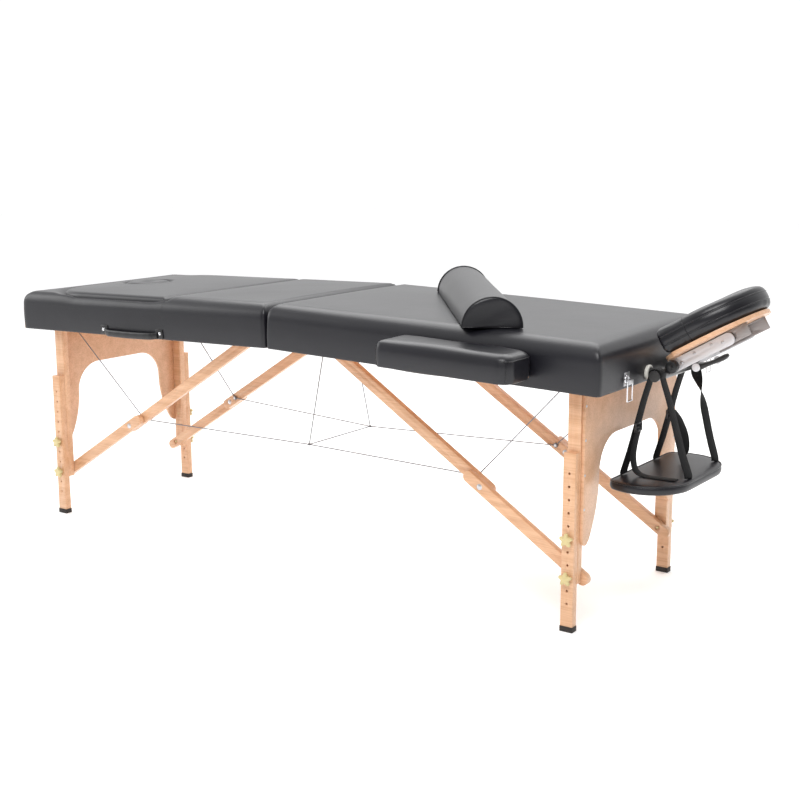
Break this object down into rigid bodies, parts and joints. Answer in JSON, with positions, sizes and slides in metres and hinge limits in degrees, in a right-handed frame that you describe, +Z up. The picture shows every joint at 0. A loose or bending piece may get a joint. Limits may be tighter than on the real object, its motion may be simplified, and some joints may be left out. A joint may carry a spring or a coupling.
{
  "type": "portable massage table",
  "caption": "Portable folding massage table with wooden legs, knee braces, stay cables, lift-up backrest, face cradle, arm sling, armrests and a half-round bolster.",
  "frame": {"origin": "middle of the whole object's footprint, on the floor", "axes": "+X from the foot end to the head end, +Y to the far side, +Z up; the near side, with the carry handles, is at -Y"},
  "size_m": [2.1093, 0.832, 0.7818],
  "materials": {
    "frame_wood": "satin clear-lacquered beech",
    "plywood": "satin lacquered plywood",
    "vinyl": "soft black vinyl upholstery",
    "steel": "zinc-plated steel",
    "chrome": "bright plated wire",
    "white_plastic": "smooth white moulded plastic",
    "white_metal": "white painted steel",
    "dark_metal": "dark painted steel",
    "black_plastic": "black moulded plastic",
    "cream_plastic": "cream moulded plastic",
    "rubber": "dark rubber",
    "webbing": "woven black webbing"
  },
  "bodies": {
    "head_half": {"head_frame": "frame_wood", "head_cushion": "vinyl", "head_fittings": "steel", "rail_bushes": "white_plastic", "handle_head": "black_plastic", "stay_cables_head": "steel"},
    "hinge_pins": {"hinge_pins": "steel", "centre_stay_wire": "steel"},
    "foot_half": {"foot_frame": "frame_wood", "foot_cushion": "vinyl", "foot_surround": "vinyl", "foot_fittings": "steel", "handle_foot": "black_plastic", "stay_cables_foot": "steel"},
    "head_leg_rod": {"head_leg_rod": "steel"},
    "foot_leg_rod": {"foot_leg_rod": "steel"},
    "head_legs": {"head_leg_posts": "frame_wood", "head_arch_panel": "plywood"},
    "foot_legs": {"foot_leg_posts": "frame_wood", "foot_arch_panel": "plywood"},
    "head_upper_brace": {"head_upper_braces": "frame_wood"},
    "head_lower_brace": {"head_lower_braces": "frame_wood"},
    "foot_upper_brace": {"foot_upper_braces": "frame_wood"},
    "foot_lower_brace": {"foot_lower_braces": "frame_wood"},
    "backrest": {"backrest_board": "plywood", "backrest_cushion": "vinyl"},
    "backrest_prop": {"backrest_prop": "chrome"},
    "face_plug": {"face_plug": "vinyl"},
    "armrest_near": {"armrest_pad_near": "vinyl", "armrest_board_near": "plywood"},
    "armrest_far": {"armrest_pad_far": "vinyl", "armrest_board_far": "plywood"},
    "headrest": {"headrest_base": "dark_metal"},
    "cradle_arms": {"cradle_arms": "white_metal"},
    "cradle": {"cradle_brackets": "steel", "cradle_platform": "plywood", "face_cushion": "vinyl"},
    "cam_lever": {"cam_lever": "black_plastic"},
    "pivot_knob": {"pivot_knob": "black_plastic"},
    "arm_sling": {"arm_shelf": "vinyl", "sling_straps": "webbing"},
    "latch_bail_near": {"latch_bail_near": "chrome"},
    "latch_bail_far": {"latch_bail_far": "chrome"},
    "bolster": {"bolster": "vinyl"},
    "head_near_lower_leg": {"lower_post_head_near": "frame_wood", "foot_cap_head_near": "rubber"},
    "head_near_low_knob": {"knob_head_near_low": "cream_plastic"},
    "head_near_high_knob": {"knob_head_near_high": "cream_plastic"},
    "head_far_lower_leg": {"lower_post_head_far": "frame_wood", "foot_cap_head_far": "rubber"},
    "head_far_low_knob": {"knob_head_far_low": "cream_plastic"},
    "head_far_high_knob": {"knob_head_far_high": "cream_plastic"},
    "foot_near_lower_leg": {"lower_post_foot_near": "frame_wood", "foot_cap_foot_near": "rubber"},
    "foot_near_low_knob": {"knob_foot_near_low": "cream_plastic"},
    "foot_near_high_knob": {"knob_foot_near_high": "cream_plastic"},
    "foot_far_lower_leg": {"lower_post_foot_far": "frame_wood", "foot_cap_foot_far": "rubber"},
    "foot_far_low_knob": {"knob_foot_far_low": "cream_plastic"},
    "foot_far_high_knob": {"knob_foot_far_high": "cream_plastic"}
  },
  "joints": [
    {"name": "fold_first", "type": "hinge", "parent": "head_half", "child": "hinge_pins", "pos_m": [-0.1215, 0, 0.571], "axis": [0, -1, 0], "range_deg": [0, 88.6], "deforming": ["centre_stay_wire"]},
    {"name": "fold_last", "type": "hinge", "parent": "hinge_pins", "child": "foot_half", "pos_m": [-0.1215, 0, 0.571], "axis": [0, -1, 0], "range_deg": [0, 88.6]},
    {"name": "head_leg_fold", "type": "hinge", "parent": "head_half", "child": "head_leg_rod", "pos_m": [0.71918, 0, 0.59147], "axis": [0, 1, 0], "range_deg": [0, 75], "deforming": ["stay_cables_head", "stay_cables_foot"]},
    {"name": "head_leg_tuck", "type": "hinge", "parent": "head_leg_rod", "child": "head_legs", "pos_m": [0.71918, 0, 0.59147], "axis": [0, 1, 0], "range_deg": [0, 16.4]},
    {"name": "head_upper_brace_fold", "type": "hinge", "parent": "head_half", "child": "head_upper_brace", "pos_m": [-0.04559, 0, 0.61016], "axis": [0, -1, 0], "range_deg": [0, 30.94]},
    {"name": "head_lower_brace_fold", "type": "hinge", "parent": "head_legs", "child": "head_lower_brace", "pos_m": [0.71918, 0, 0.126], "axis": [0, 1, 0], "range_deg": [0, 57.66]},
    {"name": "foot_leg_fold", "type": "hinge", "parent": "foot_half", "child": "foot_leg_rod", "pos_m": [-0.96218, 0, 0.59147], "axis": [0, -1, 0], "range_deg": [0, 75]},
    {"name": "foot_leg_tuck", "type": "hinge", "parent": "foot_leg_rod", "child": "foot_legs", "pos_m": [-0.96218, 0, 0.59147], "axis": [0, -1, 0], "range_deg": [0, 16.4]},
    {"name": "foot_upper_brace_fold", "type": "hinge", "parent": "foot_half", "child": "foot_upper_brace", "pos_m": [-0.19741, 0, 0.61016], "axis": [0, 1, 0], "range_deg": [0, 30.94]},
    {"name": "foot_lower_brace_fold", "type": "hinge", "parent": "foot_legs", "child": "foot_lower_brace", "pos_m": [-0.96218, 0, 0.126], "axis": [0, -1, 0], "range_deg": [0, 57.66]},
    {"name": "head_near_height", "type": "slide", "parent": "head_legs", "child": "head_near_lower_leg", "axis": [0, 0, -1], "range_m": [-0.06, 0.12]},
    {"name": "head_near_low_knob_turn", "type": "hinge", "parent": "head_legs", "child": "head_near_low_knob", "pos_m": [0.71918, -0.2645, 0.126], "axis": [0, -1, 0], "continuous": true},
    {"name": "head_near_high_knob_turn", "type": "hinge", "parent": "head_legs", "child": "head_near_high_knob", "pos_m": [0.71918, -0.2645, 0.216], "axis": [0, -1, 0], "continuous": true},
    {"name": "head_far_height", "type": "slide", "parent": "head_legs", "child": "head_far_lower_leg", "axis": [0, 0, -1], "range_m": [-0.06, 0.12]},
    {"name": "head_far_low_knob_turn", "type": "hinge", "parent": "head_legs", "child": "head_far_low_knob", "pos_m": [0.71918, 0.2645, 0.126], "axis": [0, 1, 0], "continuous": true},
    {"name": "head_far_high_knob_turn", "type": "hinge", "parent": "head_legs", "child": "head_far_high_knob", "pos_m": [0.71918, 0.2645, 0.216], "axis": [0, 1, 0], "continuous": true},
    {"name": "foot_near_height", "type": "slide", "parent": "foot_legs", "child": "foot_near_lower_leg", "axis": [0, 0, -1], "range_m": [-0.06, 0.12]},
    {"name": "foot_near_low_knob_turn", "type": "hinge", "parent": "foot_legs", "child": "foot_near_low_knob", "pos_m": [-0.96218, -0.2645, 0.126], "axis": [0, -1, 0], "continuous": true},
    {"name": "foot_near_high_knob_turn", "type": "hinge", "parent": "foot_legs", "child": "foot_near_high_knob", "pos_m": [-0.96218, -0.2645, 0.216], "axis": [0, -1, 0], "continuous": true},
    {"name": "foot_far_height", "type": "slide", "parent": "foot_legs", "child": "foot_far_lower_leg", "axis": [0, 0, -1], "range_m": [-0.06, 0.12]},
    {"name": "foot_far_low_knob_turn", "type": "hinge", "parent": "foot_legs", "child": "foot_far_low_knob", "pos_m": [-0.96218, 0.2645, 0.126], "axis": [0, 1, 0], "continuous": true},
    {"name": "foot_far_high_knob_turn", "type": "hinge", "parent": "foot_legs", "child": "foot_far_high_knob", "pos_m": [-0.96218, 0.2645, 0.216], "axis": [0, 1, 0], "continuous": true},
    {"name": "backrest_tilt", "type": "hinge", "parent": "foot_half", "child": "backrest", "pos_m": [-0.48413, 0, 0.67717], "axis": [0, 1, 0], "range_deg": [0, 68]},
    {"name": "backrest_prop_swing", "type": "hinge", "parent": "backrest", "child": "backrest_prop", "pos_m": [-0.6976, 0, 0.61194], "axis": [0, -1, 0], "range_deg": [0, 148.6]},
    {"name": "face_plug_lift", "type": "slide", "parent": "backrest", "child": "face_plug", "axis": [-0.0244, 0, 0.9997], "range_m": [0, 0.12]},
    {"name": "near_armrest_pull", "type": "slide", "parent": "head_half", "child": "armrest_near", "axis": [0, -1, 0], "range_m": [0, 0.09]},
    {"name": "far_armrest_pull", "type": "slide", "parent": "head_half", "child": "armrest_far", "axis": [0, 1, 0], "range_m": [0, 0.09]},
    {"name": "headrest_pull", "type": "slide", "parent": "head_half", "child": "headrest", "axis": [0.9997, 0, -0.0244], "range_m": [0, 0.165]},
    {"name": "cradle_raise", "type": "hinge", "parent": "headrest", "child": "cradle_arms", "pos_m": [0.86721, 0, 0.59085], "axis": [0, -1, 0], "range_deg": [-31.5, 0]},
    {"name": "cradle_tilt", "type": "hinge", "parent": "cradle_arms", "child": "cradle", "pos_m": [0.98833, 0, 0.66106], "axis": [0, 1, 0], "range_deg": [0, 25]},
    {"name": "cam_lever_release", "type": "hinge", "parent": "cradle_arms", "child": "cam_lever", "pos_m": [0.91731, 0, 0.59215], "axis": [0, 1, 0], "range_deg": [0, 95]},
    {"name": "pivot_knob_turn", "type": "hinge", "parent": "headrest", "child": "pivot_knob", "pos_m": [0.86721, -0.075, 0.59085], "axis": [0, -1, 0], "continuous": true},
    {"name": "sling_swing", "type": "hinge", "parent": "headrest", "child": "arm_sling", "pos_m": [0.8387, 0, 0.57054], "axis": [0, -1, 0], "range_deg": [-4, 25]},
    {"name": "latch_bail_near_swing", "type": "hinge", "parent": "head_half", "child": "latch_bail_near", "pos_m": [0.81359, -0.173, 0.56615], "axis": [0, -1, 0], "range_deg": [-8, 100]},
    {"name": "latch_bail_far_swing", "type": "hinge", "parent": "head_half", "child": "latch_bail_far", "pos_m": [0.81359, 0.265, 0.56615], "axis": [0, -1, 0], "range_deg": [-8, 100]},
    {"name": "bolster_lift", "type": "slide", "parent": "head_half", "child": "bolster", "axis": [0.0244, 0, 0.9997], "range_m": [0, 0.15]}
  ],
  "couplings": [
    {"joint": "foot_leg_fold", "follows": "head_leg_fold", "ratio": 1},
    {"joint": "foot_leg_tuck", "follows": "head_leg_tuck", "ratio": 1},
    {"joint": "head_upper_brace_fold", "follows": "head_leg_fold", "ratio": 0.4124},
    {"joint": "head_lower_brace_fold", "follows": "head_leg_fold", "ratio": 0.7688},
    {"joint": "foot_upper_brace_fold", "follows": "head_leg_fold", "ratio": 0.4124},
    {"joint": "foot_lower_brace_fold", "follows": "head_leg_fold", "ratio": 0.7688},
    {"joint": "backrest_prop_swing", "follows": "backrest_tilt", "ratio": 2.1838}
  ]
}
